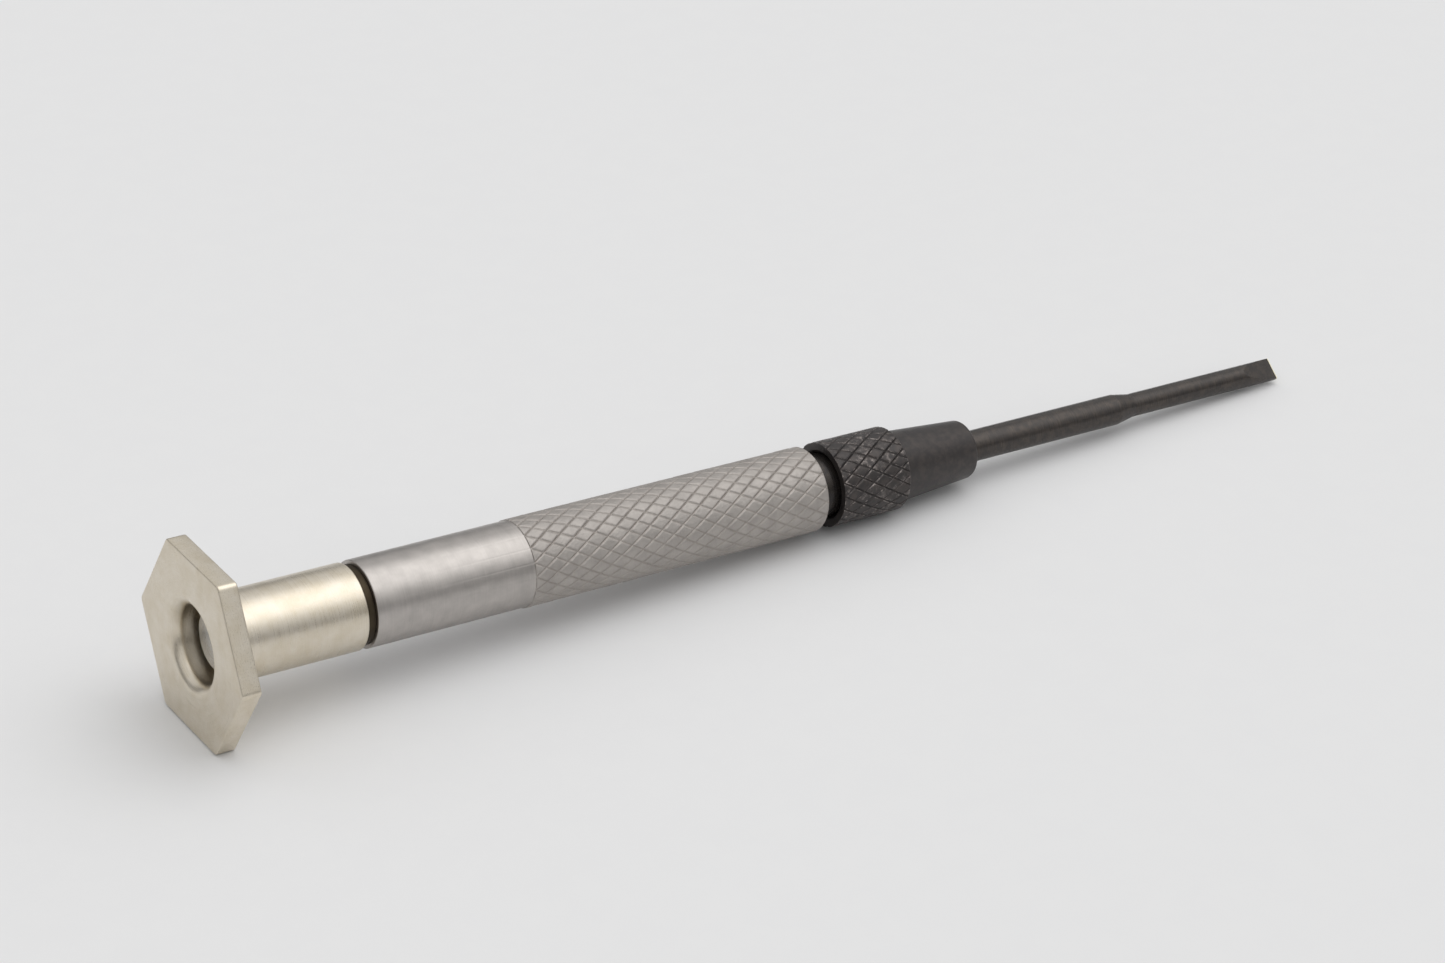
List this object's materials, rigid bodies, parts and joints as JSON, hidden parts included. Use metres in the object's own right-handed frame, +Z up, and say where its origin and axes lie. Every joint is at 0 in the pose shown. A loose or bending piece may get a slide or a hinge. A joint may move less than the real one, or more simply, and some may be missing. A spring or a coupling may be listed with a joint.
{
  "type": "precision screwdriver",
  "caption": "Slim precision screwdriver: hexagonal free-turning head, knurled handle, and a collet chuck holding a stepped flat-tip blade.",
  "frame": {"origin": "middle of the blade's end face, on the tool's axis", "axes": "+X along the tool's axis, from the head towards the tip; +Z up, square to the hexagonal head's upper and lower flats; +Y completes the right-handed set"},
  "size_m": [0.0972, 0.0148, 0.0132],
  "materials": {
    "nickel_plate": "turned, nickel plated",
    "pin_steel": "faced, bright",
    "washer_brass": "dull",
    "washer_bronze": "oil darkened",
    "handle_aluminium": "turned satin, knurled",
    "black_steel": "black oxide, oiled",
    "spring_steel": "hardened, ground",
    "black_nut_steel": "black oxide, knurled",
    "blade_steel": "black oxide, bare at the tip"
  },
  "bodies": {
    "handle": {"handle_barrel": "handle_aluminium", "swivel_pin": "pin_steel", "pin_washer": "washer_brass", "thrust_washer": "washer_bronze", "chuck_body": "black_steel"},
    "head": {"swivel_head": "nickel_plate"},
    "collet": {"collet": "spring_steel"},
    "nut": {"chuck_nut": "black_nut_steel"},
    "blade": {"blade": "blade_steel"}
  },
  "joints": [
    {"name": "head_swivel", "type": "hinge", "parent": "handle", "child": "head", "pos_m": [-0.09, 0, 0], "axis": [1, 0, 0], "continuous": true},
    {"name": "collet_travel", "type": "slide", "parent": "handle", "child": "collet", "axis": [1, 0, 0], "range_m": [0, 0.0019]},
    {"name": "nut_turn", "type": "hinge", "parent": "collet", "child": "nut", "pos_m": [-0.037, 0, 0], "axis": [1, 0, 0], "range_deg": [0, 1080]},
    {"name": "blade_slide", "type": "slide", "parent": "collet", "child": "blade", "axis": [1, 0, 0], "range_m": [0, 0.012]}
  ],
  "couplings": [
    {"joint": "nut_turn", "follows": "collet_travel", "rad_per_m": 9894.8}
  ]
}
